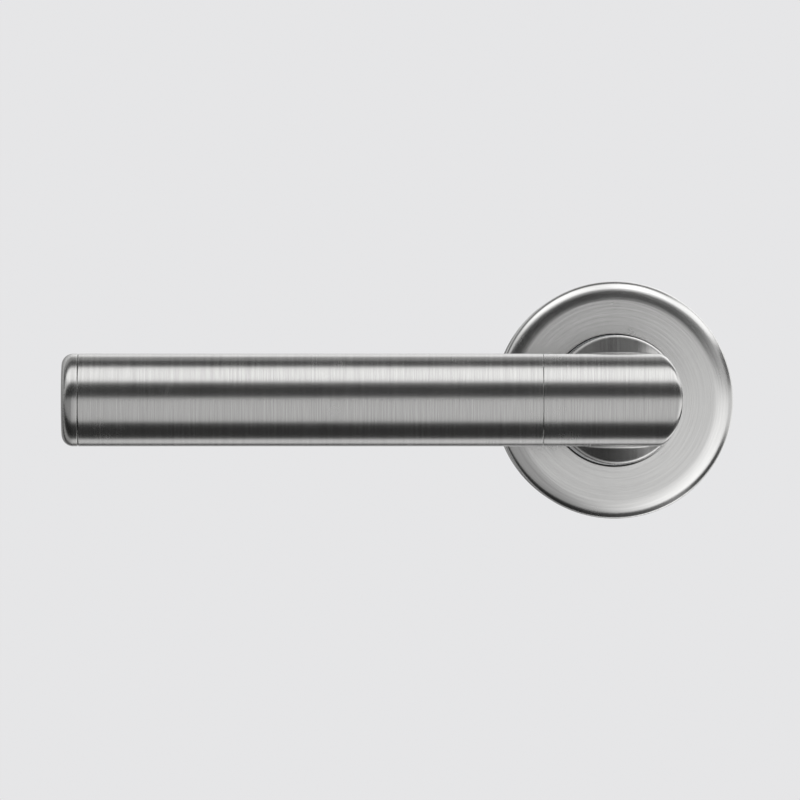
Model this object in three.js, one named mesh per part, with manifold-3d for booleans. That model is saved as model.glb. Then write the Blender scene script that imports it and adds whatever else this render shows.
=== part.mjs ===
// A pair of lever handles on round, spring-returned roses, for both sides of an interior door.
//
// Row frame in millimetres: +Z up, +X towards the lock edge of the door, -Y out of the door face that is
// seen first. The origin is on the spindle's axis, in the middle of the door's thickness.
//
// Each side is modelled once, in a side frame whose +Y points out of its own door face, with Y = 0 on that
// face. The inner side uses it as it is and the outer side is its mirror image. Angles are measured round
// the spindle from +X towards +Z, which is the way that the pressed lever turns.

import * as THREE from "three";
import { mergeVertices } from "three/addons/utils/BufferGeometryUtils.js";
import Module from "manifold-3d";

const wasm = await Module();
wasm.setup();

// ---- Driving dimensions, in millimetres and degrees ----------------------------------------------------

const GAP = 0.3; // free play between two pieces that touch or run on each other
const SEAM = 0.1; // between two pieces that are screwed or pressed face to face
const PAST = 1; // how far a cutting tool reaches past what it cuts

const DOOR_THICKNESS = 40;
const BOLT_SPACING = 38;
const SPINDLE_SIZE = 8;
const SPINDLE_LENGTH = 110;
const LEVER_TRAVEL = 45;

const ROSE_RADIUS = 26;
const ROSE_HEIGHT = 10;
const ROSE_WALL = 1.2;
const ROSE_SHOULDER_WIDTH = 4.5; // the rose's rounded edge is a quarter of an ellipse
const ROSE_SHOULDER_HEIGHT = 2.4;

const NECK_RADIUS = 14;
const GRIP_RADIUS = 10;
const GRIP_STANDOFF = 52; // door face to the grip's axis
const GRIP_REACH = 120; // spindle axis to the free end
const GRIP_BORE_RADIUS = 8;
const GRIP_SEAM = 16; // spindle axis to the joint between neck and grip tube
const CAP_LENGTH = 3.5;
const CAP_EDGE_RADIUS = 2.5;
const CAP_PLUG_LENGTH = 9;

const JOURNAL_RADIUS = 10.8;
const JOURNAL_FLAT = 9.6; // spindle axis to each flat that drives the spring driver
const PLATE_RADIUS = 24.3;
const PLATE_HEIGHT = 7.4;
const BACK_RECESS_RADIUS = 14.9;
const BACK_RECESS_DEPTH = 2.2;
const BOLT_RADIUS = 2;
const SLEEVE_RADIUS = 3;
const HEAD_RADIUS = 3.7;
const HEAD_HEIGHT = 2.4;
const HEAD_SEAT = 4; // height of the plate's counterbore floor under each bolt head

const SPRING_RADIUS = 18.4; // spindle axis to the middle of the arched return springs
const COIL_RADIUS = 1.75;
const COIL_WIRE_RADIUS = 0.35;
const COIL_TURNS = 8;
const LUG_START = 20; // angles of the driver's lug at rest
const LUG_END = 30;
const CHANNEL_END = 160;
const STOP_PLAY = 1; // degrees between a lug and its stop

const ROUND = 24; // sides of the larger round pieces
const SMALL_ROUND = 12;

// Heights that follow from the ones above.
const ROSE_INSIDE = ROSE_HEIGHT - ROSE_WALL;
const NECK_END = -1;
const SHOULDER = ROSE_INSIDE + 0.1;
const CHANNEL_FLOOR = BACK_RECESS_DEPTH + 0.7;
const DRIVER_BOTTOM = PLATE_HEIGHT - 1.8;
const DRIVER_TOP = PLATE_HEIGHT - 0.1;
const BOLT_OFFSET = BOLT_SPACING / 2;

// ---- Materials ------------------------------------------------------------------------------------------

const finish = (color, roughness, metalness) =>
  new THREE.MeshStandardMaterial({ color, roughness, metalness });

const MATERIALS = {
  satinSteel: finish(0xb9bab8, 0.32, 1),
  zincCasting: finish(0x8f9396, 0.5, 1),
  platedSteel: finish(0xa9adb0, 0.35, 1),
  springSteel: finish(0x6b6a66, 0.3, 1),
  blackSteel: finish(0x2b2b2d, 0.45, 0.8),
  nylon: finish(0x1f2022, 0.55, 0),
};

// ---- Helpers --------------------------------------------------------------------------------------------

const radians = THREE.MathUtils.degToRad;

/** A closed three.js geometry as a solid, with its faces pointing out. */
function solid(geometry) {
  const bare = geometry.clone();
  bare.deleteAttribute("normal");
  bare.deleteAttribute("uv");
  const merged = mergeVertices(bare, 1e-4);
  const position = merged.getAttribute("position");
  const corner = (index) => new THREE.Vector3().fromBufferAttribute(position, index);
  const faces = [];
  let volume = 0;
  for (let i = 0; i < merged.index.count; i += 3) {
    const [a, b, c] = [0, 1, 2].map((k) => merged.index.getX(i + k));
    if (a === b || b === c || c === a) continue;
    faces.push([a, b, c]);
    volume += corner(a).dot(corner(b).cross(corner(c)));
  }
  const facing = volume < 0 ? ([a, b, c]) => [a, c, b] : (face) => face;
  const mesh = new wasm.Mesh({
    numProp: 3,
    vertProperties: position.array,
    triVerts: new Uint32Array(faces.flatMap(facing)),
  });
  return new wasm.Manifold(mesh);
}

/** The named mesh of a solid. */
function piece(name, body, material) {
  const made = body.getMesh();
  const geometry = new THREE.BufferGeometry();
  geometry.setAttribute("position", new THREE.BufferAttribute(made.vertProperties, 3));
  geometry.setIndex(new THREE.BufferAttribute(made.triVerts, 1));
  geometry.computeVertexNormals();
  const mesh = new THREE.Mesh(geometry, material);
  mesh.name = name;
  return mesh;
}

/** A solid of revolution round Y. The profile is a list of [radius, height], on the axis or closed. */
function turned(profile, sides = ROUND) {
  const points = profile.map(([radius, height]) => new THREE.Vector2(radius, height));
  if (profile.at(-1)[0] > 0 || profile[0][0] > 0) points.push(points[0].clone());
  return solid(new THREE.LatheGeometry(points, sides));
}

/** A ring of rectangular section round Y. */
function ring(inner, outer, bottom, top, sides = ROUND) {
  const section = [[inner, bottom], [outer, bottom], [outer, top], [inner, top]];
  return turned(section, sides);
}

/** A cylinder round Y, or round X or Z when told so, between two places on its axis. */
function rod(radius, from, to, axis = "y", sides = ROUND) {
  const geometry = new THREE.CylinderGeometry(radius, radius, to - from, sides);
  geometry.translate(0, (from + to) / 2, 0);
  if (axis === "x") geometry.rotateZ(-Math.PI / 2);
  if (axis === "z") geometry.rotateX(Math.PI / 2);
  return solid(geometry);
}

/** A slim cylinder round Y. */
const stud = (radius, bottom, top) => rod(radius, bottom, top, "y", SMALL_ROUND);

/** A box between two corners. */
function block([x0, y0, z0], [x1, y1, z1]) {
  const geometry = new THREE.BoxGeometry(x1 - x0, y1 - y0, z1 - z0);
  geometry.translate((x0 + x1) / 2, (y0 + y1) / 2, (z0 + z1) / 2);
  return solid(geometry);
}

/** A flat outline in X and Z, made thick from one height to another. */
function plateOf(shape, bottom, top, curveSegments = 8) {
  const options = { depth: top - bottom, bevelEnabled: false, curveSegments };
  const geometry = new THREE.ExtrudeGeometry(shape, options);
  geometry.rotateX(Math.PI / 2);
  geometry.translate(0, top, 0);
  return solid(geometry);
}

/** Part of a ring between two angles. */
function sector(inner, outer, startAngle, endAngle, bottom, top) {
  const shape = new THREE.Shape();
  shape.absarc(0, 0, outer, radians(startAngle), radians(endAngle), false);
  shape.absarc(0, 0, inner, radians(endAngle), radians(startAngle), true);
  shape.closePath();
  const segments = Math.max(1, Math.round((endAngle - startAngle) / 15));
  return plateOf(shape, bottom, top, segments);
}

/** A wire of round section along a curve. */
function wire(path, radius, steps, sides = 6) {
  const section = new THREE.Shape();
  for (let i = 0; i < sides; i++) {
    const angle = (2 * Math.PI * i) / sides;
    const [x, y] = [radius * Math.cos(angle), radius * Math.sin(angle)];
    if (i === 0) section.moveTo(x, y);
    else section.lineTo(x, y);
  }
  section.closePath();
  return solid(new THREE.ExtrudeGeometry(section, { steps, extrudePath: path }));
}

/** Points on a quarter of an ellipse, from one angle to another, as [radius, height] pairs. */
function quarterRound([centreRadius, centreHeight], [width, height], fromAngle, toAngle, steps = 3) {
  return Array.from({ length: steps + 1 }, (_, i) => {
    const angle = radians(fromAngle + ((toAngle - fromAngle) * i) / steps);
    return [centreRadius + width * Math.cos(angle), centreHeight + height * Math.sin(angle)];
  });
}

// ---- Lever: neck, grip tube, end cap, set screw -------------------------------------------------------

const CONE_START = GRIP_STANDOFF - 5.5; // the barrel's end narrows to the grip's width
const CONE_END = GRIP_STANDOFF - 0.5;
const SET_SCREW_HEIGHT = 17;
const SET_SCREW_RADIUS = 2.7;
const SET_SCREW_POINT_RADIUS = 1.6;
const SET_SCREW_SINK = 0.5; // from the barrel's surface to the screw's end
const SET_SCREW_REST = 0.2; // from the spindle's face to the screw's point
const HEX_SOCKET_RADIUS = 1.73;
const HEX_SOCKET_DEPTH = 3.2;
const SPINDLE_HOLE = SPINDLE_SIZE + 0.5;
const SPINDLE_HOLE_DEPTH = 40;
const SPIGOT_LENGTH = 14;
const JOURNAL_CHAMFER = 0.5;
const FLAT_END = SHOULDER - 0.2;
const CLIP_GROOVE_BOTTOM = 0.35;
const CLIP_GROOVE_TOP = 1.6;
const CLIP_GROOVE_RADIUS = 9.8;

/** Turned barrel that runs in the rose, with a cross head that carries on the line of the grip. */
function neck(side) {
  const barrel = turned([
    [0, NECK_END],
    [JOURNAL_RADIUS - JOURNAL_CHAMFER, NECK_END],
    [JOURNAL_RADIUS, NECK_END + JOURNAL_CHAMFER],
    [JOURNAL_RADIUS, CLIP_GROOVE_BOTTOM],
    [CLIP_GROOVE_RADIUS, CLIP_GROOVE_BOTTOM],
    [CLIP_GROOVE_RADIUS, CLIP_GROOVE_TOP],
    [JOURNAL_RADIUS, CLIP_GROOVE_TOP],
    [JOURNAL_RADIUS, SHOULDER],
    [NECK_RADIUS, SHOULDER],
    [NECK_RADIUS, CONE_START],
    [GRIP_RADIUS, CONE_END],
    [0, CONE_END],
  ]);
  const onGripAxis = (body) => body.translate([0, GRIP_STANDOFF, 0]);
  const around = GRIP_RADIUS + PAST;
  const reach = block([-GRIP_SEAM - PAST, -around, -around], [0, around, around])
    .add(rod(NECK_RADIUS, -around, around));
  const head = onGripAxis(rod(GRIP_RADIUS, -GRIP_SEAM, NECK_RADIUS + PAST, "x").intersect(reach));
  const spigot = onGripAxis(rod(GRIP_BORE_RADIUS - GAP, -GRIP_SEAM - SPIGOT_LENGTH, -SPINDLE_SIZE / 2, "x"));
  const half = SPINDLE_HOLE / 2;
  const squareHole = block([-half, NECK_END - PAST, -half], [half, SPINDLE_HOLE_DEPTH, half]);
  const screwHole = rod(SET_SCREW_RADIUS + GAP, -NECK_RADIUS - PAST, -SPINDLE_SIZE / 4, "z", SMALL_ROUND);
  let body = barrel
    .add(head)
    .add(spigot)
    .subtract(squareHole)
    .subtract(screwHole.translate([0, SET_SCREW_HEIGHT, 0]));
  const wide = JOURNAL_RADIUS + PAST;
  for (const [low, high] of [[JOURNAL_FLAT, wide], [-wide, -JOURNAL_FLAT]]) {
    body = body.subtract(block([-wide, NECK_END - PAST, low], [wide, FLAT_END, high]));
  }
  return piece(`${side}_lever_neck`, body, MATERIALS.satinSteel);
}

/** Round tube that the hand holds. */
function gripTube(side) {
  const outside = rod(GRIP_RADIUS, -GRIP_REACH + CAP_LENGTH + SEAM, -GRIP_SEAM - SEAM, "x");
  const bore = rod(GRIP_BORE_RADIUS, -GRIP_REACH, 0, "x");
  const body = outside.subtract(bore).translate([0, GRIP_STANDOFF, 0]);
  return piece(`${side}_grip_tube`, body, MATERIALS.satinSteel);
}

/** Plug that closes the free end of the grip tube, with a rounded rim. */
function gripEndCap(side) {
  const spigotRadius = GRIP_BORE_RADIUS - GAP;
  const centre = [GRIP_RADIUS - CAP_EDGE_RADIUS, CAP_LENGTH - CAP_EDGE_RADIUS];
  const rim = quarterRound(centre, [CAP_EDGE_RADIUS, CAP_EDGE_RADIUS], 0, 90, 2);
  const plug = turned([[0, -CAP_PLUG_LENGTH], [spigotRadius, -CAP_PLUG_LENGTH], [spigotRadius, 0],
    [GRIP_RADIUS, 0], ...rim, [0, CAP_LENGTH]]);
  const turnedOver = plug.rotate([0, 0, 90]);
  const body = turnedOver.translate([-GRIP_REACH + CAP_LENGTH, GRIP_STANDOFF, 0]);
  return piece(`${side}_grip_end_cap`, body, MATERIALS.satinSteel);
}

/** Hexagon socket set screw that clamps the neck on the spindle, from below. */
function setScrew(side) {
  const length = NECK_RADIUS - SPINDLE_SIZE / 2 - SET_SCREW_SINK - SET_SCREW_REST;
  const cone = SET_SCREW_RADIUS - SET_SCREW_POINT_RADIUS;
  const shank = turned([[0, 0], [SET_SCREW_POINT_RADIUS, 0], [SET_SCREW_RADIUS, cone],
    [SET_SCREW_RADIUS, length], [0, length]], SMALL_ROUND);
  const socket = rod(HEX_SOCKET_RADIUS, length - HEX_SOCKET_DEPTH, length + PAST, "y", 6);
  const upright = shank.subtract(socket).rotate([-90, 0, 0]);
  const body = upright.translate([0, SET_SCREW_HEIGHT, -SPINDLE_SIZE / 2 - SET_SCREW_REST]);
  return piece(`${side}_set_screw`, body, MATERIALS.blackSteel);
}

// ---- Rose: cover, guide ring, snap ring ---------------------------------------------------------------

const COVER_HOLE_RADIUS = NECK_RADIUS + 0.5;
const COVER_INSIDE_RADIUS = ROSE_RADIUS - ROSE_WALL;
const COVER_INSIDE_ROUND = 1.5;
const NOTCH_HALF_WIDTH = 3;
const NOTCH_HEIGHT = 1.2;
const GUIDE_RING_RADIUS = 17.2;
const GUIDE_RING_THICKNESS = 0.5;
const SNAP_RING_HEIGHT = 2.9;
const SNAP_RING_WIRE = 0.5;
const SNAP_RING_RADIUS = 24.05;
const SNAP_RING_OPENING = 40; // degrees, at the bottom

/** Pressed cup with a rounded edge, a hole for the neck and a notch to lever it off by. */
function roseCover(side) {
  const insideCentre = [COVER_INSIDE_RADIUS - COVER_INSIDE_ROUND, ROSE_INSIDE - COVER_INSIDE_ROUND];
  const shoulderCentre = [ROSE_RADIUS - ROSE_SHOULDER_WIDTH, ROSE_HEIGHT - ROSE_SHOULDER_HEIGHT];
  const cup = turned([
    [COVER_HOLE_RADIUS, ROSE_INSIDE],
    ...quarterRound(insideCentre, [COVER_INSIDE_ROUND, COVER_INSIDE_ROUND], 90, 0, 2),
    [COVER_INSIDE_RADIUS, 0],
    [ROSE_RADIUS, 0],
    ...quarterRound(shoulderCentre, [ROSE_SHOULDER_WIDTH, ROSE_SHOULDER_HEIGHT], 0, 90),
    [COVER_HOLE_RADIUS, ROSE_HEIGHT],
  ]);
  const notch = block([-NOTCH_HALF_WIDTH, -PAST, -ROSE_RADIUS - PAST],
    [NOTCH_HALF_WIDTH, NOTCH_HEIGHT, -COVER_INSIDE_RADIUS + PAST]);
  return piece(`${side}_rose_cover`, cup.subtract(notch), MATERIALS.satinSteel);
}

/** Flat nylon ring under the edge of the cover's hole that guides the neck. */
function guideRing(side) {
  const top = ROSE_INSIDE - SEAM;
  const body = ring(NECK_RADIUS + GAP, GUIDE_RING_RADIUS, top - GUIDE_RING_THICKNESS, top);
  return piece(`${side}_guide_ring`, body, MATERIALS.nylon);
}

class ArcPath extends THREE.Curve {
  constructor(radius, height, startAngle, endAngle) {
    super();
    Object.assign(this, { radius, height, startAngle, endAngle });
  }
  getPoint(share, target = new THREE.Vector3()) {
    const angle = radians(this.startAngle + (this.endAngle - this.startAngle) * share);
    return target.set(this.radius * Math.cos(angle), this.height, this.radius * Math.sin(angle));
  }
}

/** Open wire ring in the plate's rim that the cover snaps over. */
function snapRing(side) {
  const half = SNAP_RING_OPENING / 2;
  const path = new ArcPath(SNAP_RING_RADIUS, SNAP_RING_HEIGHT, half - 90, 270 - half);
  return piece(`${side}_snap_ring`, wire(path, SNAP_RING_WIRE, ROUND), MATERIALS.springSteel);
}

// ---- Rose: mounting plate, bush, driver, springs, lid, clip and washer ---------------------------------

const DRIVER_RADIUS = 14.6;
const CHANNEL_INNER = SPRING_RADIUS - COIL_RADIUS - COIL_WIRE_RADIUS - 0.2;
const CHANNEL_OUTER = SPRING_RADIUS + COIL_RADIUS + COIL_WIRE_RADIUS + 0.4;
const STOP_RADIUS = 22.6;
const STOP_FLOOR = DRIVER_BOTTOM - GAP;
const DRIVER_SEAT = DRIVER_BOTTOM - SEAM;
const BUSH_RADIUS = 12.4;
const BUSH_FLANGE_RADIUS = 13.8;
const BUSH_FLANGE_TOP = 3;
const LID_HOLE_RADIUS = 12.6;
const LID_RADIUS = 22.8;
const LID_THICKNESS = 0.6;
const LID_WINDOW_HALF_WIDTH = 1.2;
const LID_WINDOW_ANGLES = [42, 138];
const LIP_RADIUS = 4;
const LIP_LENGTH = 6;
const SNAP_GROOVE_DEPTH = 1.1;
const PLATE_CHAMFER = 1;
const HALF_TURNS = [0, 180];

/** Cast plate that is bolted to the door and holds the spring mechanism. */
function mountingPlate(side) {
  const rimGroove = PLATE_RADIUS - SNAP_GROOVE_DEPTH;
  const grooveHalf = SNAP_RING_WIRE + 2 * SEAM;
  const disc = turned([
    [BUSH_RADIUS + GAP, BUSH_FLANGE_TOP + SEAM],
    [BUSH_FLANGE_RADIUS + GAP, BUSH_FLANGE_TOP + SEAM],
    [BUSH_FLANGE_RADIUS + GAP, BACK_RECESS_DEPTH],
    [BACK_RECESS_RADIUS, BACK_RECESS_DEPTH],
    [BACK_RECESS_RADIUS, 0],
    [PLATE_RADIUS, 0],
    [PLATE_RADIUS, SNAP_RING_HEIGHT - grooveHalf],
    [rimGroove, SNAP_RING_HEIGHT - grooveHalf],
    [rimGroove, SNAP_RING_HEIGHT + grooveHalf],
    [PLATE_RADIUS, SNAP_RING_HEIGHT + grooveHalf],
    [PLATE_RADIUS, PLATE_HEIGHT - PLATE_CHAMFER],
    [PLATE_RADIUS - PLATE_CHAMFER, PLATE_HEIGHT],
    [DRIVER_RADIUS + GAP, PLATE_HEIGHT],
    [DRIVER_RADIUS + GAP, DRIVER_SEAT],
    [BUSH_RADIUS + GAP, DRIVER_SEAT],
  ]);
  let body = disc;
  for (const turn of HALF_TURNS) {
    const start = turn + LUG_START - STOP_PLAY;
    const channelEnd = turn + CHANNEL_END + STOP_PLAY;
    const stopEnd = turn + LUG_END + LEVER_TRAVEL + STOP_PLAY;
    const top = PLATE_HEIGHT + PAST;
    body = body
      .subtract(sector(CHANNEL_INNER, CHANNEL_OUTER, start, channelEnd, CHANNEL_FLOOR, top))
      .subtract(sector(DRIVER_RADIUS, CHANNEL_INNER + SEAM, start, stopEnd, DRIVER_SEAT, top))
      .subtract(sector(CHANNEL_OUTER - SEAM, STOP_RADIUS + GAP, start, stopEnd, STOP_FLOOR, top));
  }
  for (const way of [1, -1]) {
    const place = [way * BOLT_OFFSET, 0, 0];
    body = body
      .add(stud(LIP_RADIUS, -LIP_LENGTH, BACK_RECESS_DEPTH).translate(place))
      .subtract(stud(SLEEVE_RADIUS + GAP, -LIP_LENGTH - PAST, HEAD_SEAT + PAST).translate(place))
      .subtract(stud(HEAD_RADIUS + GAP, HEAD_SEAT, PLATE_HEIGHT + PAST).translate(place));
  }
  return piece(`${side}_mounting_plate`, body, MATERIALS.zincCasting);
}

/** Flanged nylon bearing that the neck's journal turns in. */
function bearingBush(side) {
  const inner = JOURNAL_RADIUS + GAP;
  const body = turned([
    [inner, BACK_RECESS_DEPTH + SEAM],
    [BUSH_FLANGE_RADIUS, BACK_RECESS_DEPTH + SEAM],
    [BUSH_FLANGE_RADIUS, BUSH_FLANGE_TOP],
    [BUSH_RADIUS, BUSH_FLANGE_TOP],
    [BUSH_RADIUS, DRIVER_SEAT - SEAM],
    [inner, DRIVER_SEAT - SEAM],
  ]);
  return piece(`${side}_bearing_bush`, body, MATERIALS.nylon);
}

/** Ring on the neck's two flats, with a lug at each side that pushes a spring. */
function springDriver(side) {
  const inner = JOURNAL_RADIUS + GAP;
  const flat = JOURNAL_FLAT + GAP;
  const [pusherInner, pusherOuter] = [CHANNEL_INNER + 2 * SEAM, CHANNEL_OUTER - 4 * SEAM];
  let body = rod(DRIVER_RADIUS, DRIVER_BOTTOM, DRIVER_TOP);
  for (const turn of HALF_TURNS) {
    const [start, end] = [turn + LUG_START, turn + LUG_END];
    body = body
      .add(sector(DRIVER_RADIUS - PAST, STOP_RADIUS, start, end, DRIVER_BOTTOM, DRIVER_TOP))
      .add(sector(pusherInner, pusherOuter, start, end, CHANNEL_FLOOR + 2 * SEAM, DRIVER_TOP));
  }
  const bore = rod(inner, 0, ROSE_HEIGHT).intersect(block([-inner, 0, -flat], [inner, ROSE_HEIGHT, flat]));
  return piece(`${side}_spring_driver`, body.subtract(bore), MATERIALS.platedSteel);
}

class ArchedCoilPath extends THREE.Curve {
  constructor(startAngle, endAngle, height) {
    super();
    Object.assign(this, { startAngle, endAngle, height });
  }
  getPoint(share, target = new THREE.Vector3()) {
    const along = radians(this.startAngle + (this.endAngle - this.startAngle) * share);
    const around = 2 * Math.PI * COIL_TURNS * share;
    const radius = SPRING_RADIUS + COIL_RADIUS * Math.cos(around);
    const height = this.height + COIL_RADIUS * Math.sin(around);
    return target.set(radius * Math.cos(along), height, radius * Math.sin(along));
  }
}

/** Compression spring that lies in an arched channel, between a driver lug and the channel's end. */
function returnSpring(side, number) {
  const turn = HALF_TURNS[number];
  const wireAngle = THREE.MathUtils.radToDeg((COIL_WIRE_RADIUS + SEAM) / SPRING_RADIUS);
  const from = turn + LUG_END + 1.3 * wireAngle;
  const to = turn + CHANNEL_END - wireAngle;
  const path = new ArchedCoilPath(from, to, (CHANNEL_FLOOR + PLATE_HEIGHT) / 2);
  const label = ["upper", "lower"][number];
  const body = wire(path, COIL_WIRE_RADIUS, COIL_TURNS * 6, 4);
  return piece(`${side}_return_spring_${label}`, body, MATERIALS.springSteel);
}

/** Thin steel lid that keeps driver and springs in the plate, with a window over each spring. */
function springLid(side) {
  const bottom = PLATE_HEIGHT + SEAM;
  let body = ring(LID_HOLE_RADIUS, LID_RADIUS, bottom, bottom + LID_THICKNESS);
  const [inner, outer] = [SPRING_RADIUS - LID_WINDOW_HALF_WIDTH, SPRING_RADIUS + LID_WINDOW_HALF_WIDTH];
  for (const turn of HALF_TURNS) {
    const [start, end] = LID_WINDOW_ANGLES.map((angle) => turn + angle);
    body = body.subtract(sector(inner, outer, start, end, 0, ROSE_HEIGHT));
  }
  for (const way of [1, -1]) {
    const hole = stud(HEAD_RADIUS + 0.5, 0, ROSE_HEIGHT);
    body = body.subtract(hole.translate([way * BOLT_OFFSET, 0, 0]));
  }
  return piece(`${side}_spring_lid`, body, MATERIALS.platedSteel);
}

const CIRCLIP_RADIUS = 12.4;
const CIRCLIP_OPENING = 48; // degrees, at the bottom
const EYE_OFFSET = 12.05; // spindle axis to the middle of each eye
const EYE_RADIUS = 1.85;
const EYE_HOLE_RADIUS = 0.8;

/** Open retaining ring in the neck's groove, behind the plate, with an eye at each end. */
function circlip(side) {
  const [bottom, top] = [CLIP_GROOVE_BOTTOM + SEAM, CLIP_GROOVE_TOP - 1.5 * SEAM];
  const ends = [CIRCLIP_OPENING / 2 - 90, 270 - CIRCLIP_OPENING / 2];
  let body = sector(CLIP_GROOVE_RADIUS + GAP, CIRCLIP_RADIUS, ...ends, bottom, top);
  for (const angle of ends.map(radians)) {
    const place = [EYE_OFFSET * Math.cos(angle), 0, EYE_OFFSET * Math.sin(angle)];
    body = body
      .add(rod(EYE_RADIUS, bottom, top, "y", 8).translate(place))
      .subtract(rod(EYE_HOLE_RADIUS, bottom - PAST, top + PAST, "y", 6).translate(place));
  }
  return piece(`${side}_circlip`, body, MATERIALS.blackSteel);
}

/** Washer between the circlip and the bush. */
function thrustWasher(side) {
  const outer = BACK_RECESS_RADIUS - GAP;
  const body = ring(JOURNAL_RADIUS + GAP, outer, CLIP_GROOVE_TOP, BACK_RECESS_DEPTH);
  return piece(`${side}_thrust_washer`, body, MATERIALS.platedSteel);
}

// ---- Through the door: spindle, bolts and threaded sleeves --------------------------------------------

const SLEEVE_DEPTH = 24; // door face to the sleeve's end, inside the door
const BOLT_LENGTH = 35;
const SEAT_FACE = DOOR_THICKNESS / 2 + HEAD_SEAT + SEAM; // door's middle to the underside of each head
const HEAD_CHAMFER = 0.6;
const POINT_CHAMFER = 0.6;
const CROSS_REACH = 2; // the cross recess in the bolts
const CROSS_HALF_WIDTH = 0.45;
const CROSS_DEPTH = 1.6;
const SLOT_HALF_WIDTH = 0.5; // the slot in the sleeves
const SLOT_DEPTH = 1;
const SPINDLE_END_RADIUS = SPINDLE_SIZE / 2 - 0.2;
const SPINDLE_CORNER_RADIUS = 0.75 * SPINDLE_SIZE;
const SPINDLE_POINT = 1.8;

/** Square bar that turns the latch and joins both levers. */
function spindle() {
  const half = SPINDLE_SIZE / 2;
  const end = SPINDLE_LENGTH / 2;
  const bar = block([-half, -end, -half], [half, end, half]);
  const pointed = turned([[0, -end], [SPINDLE_END_RADIUS, -end], [SPINDLE_CORNER_RADIUS, SPINDLE_POINT - end],
    [SPINDLE_CORNER_RADIUS, end - SPINDLE_POINT], [SPINDLE_END_RADIUS, end], [0, end]], SMALL_ROUND);
  return piece("spindle", bar.intersect(pointed), MATERIALS.platedSteel);
}

/** Bolt from the inner plate, with a cross recess, made in the row frame. */
function throughBolt(label, x) {
  const end = SEAT_FACE - BOLT_LENGTH;
  const top = SEAT_FACE + HEAD_HEIGHT;
  const shank = turned([[0, end], [BOLT_RADIUS - POINT_CHAMFER, end], [BOLT_RADIUS, end + POINT_CHAMFER],
    [BOLT_RADIUS, SEAT_FACE], [HEAD_RADIUS, SEAT_FACE], [HEAD_RADIUS, top - HEAD_CHAMFER],
    [HEAD_RADIUS - HEAD_CHAMFER, top], [0, top]], SMALL_ROUND);
  const [long, thin, floor] = [CROSS_REACH, CROSS_HALF_WIDTH, top - CROSS_DEPTH];
  const recess = block([-long, floor, -thin], [long, top + PAST, thin])
    .add(block([-thin, floor, -long], [thin, top + PAST, long]));
  const body = shank.subtract(recess).translate([x, 0, 0]);
  return piece(`through_bolt_${label}`, body, MATERIALS.platedSteel);
}

/** Flanged sleeve with the thread for a bolt, from the outer plate, made in the row frame. */
function threadedSleeve(label, x) {
  const [bore, end] = [BOLT_RADIUS + GAP, SLEEVE_DEPTH - DOOR_THICKNESS / 2];
  const top = -SEAT_FACE - HEAD_HEIGHT;
  const shell = turned([[bore, end], [SLEEVE_RADIUS, end], [SLEEVE_RADIUS, -SEAT_FACE],
    [HEAD_RADIUS, -SEAT_FACE], [HEAD_RADIUS, top + HEAD_CHAMFER], [HEAD_RADIUS - HEAD_CHAMFER, top],
    [bore, top]], SMALL_ROUND);
  const slot = block([-HEAD_RADIUS - PAST, top - PAST, -SLOT_HALF_WIDTH],
    [HEAD_RADIUS + PAST, top + SLOT_DEPTH, SLOT_HALF_WIDTH]);
  const body = shell.subtract(slot).translate([x, 0, 0]);
  return piece(`threaded_sleeve_${label}`, body, MATERIALS.platedSteel);
}

// ---- Assembly -------------------------------------------------------------------------------------------

/** One side of the door, in the side frame. */
function handleSide(side) {
  const group = new THREE.Group();
  const makers = [neck, gripTube, gripEndCap, setScrew, roseCover, guideRing, snapRing, mountingPlate,
    bearingBush, springDriver, springLid, circlip, thrustWasher];
  for (const make of makers) group.add(make(side));
  for (const number of [0, 1]) group.add(returnSpring(side, number));
  return group;
}

const innerSide = handleSide("inner");
innerSide.position.y = DOOR_THICKNESS / 2;

const outerSide = handleSide("outer");
outerSide.position.y = -DOOR_THICKNESS / 2;
outerSide.scale.y = -1;

const leverHandleSet = new THREE.Group();
leverHandleSet.add(innerSide, outerSide, spindle());
for (const [label, way] of [["left", -1], ["right", 1]]) {
  leverHandleSet.add(throughBolt(label, way * BOLT_OFFSET), threadedSleeve(label, way * BOLT_OFFSET));
}

export default leverHandleSet;
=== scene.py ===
"""Looks for a pair of round-bar lever handles in satin stainless steel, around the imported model."""

import math

import bmesh
import bpy
import numpy as np
from mathutils import Matrix, Vector


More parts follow.
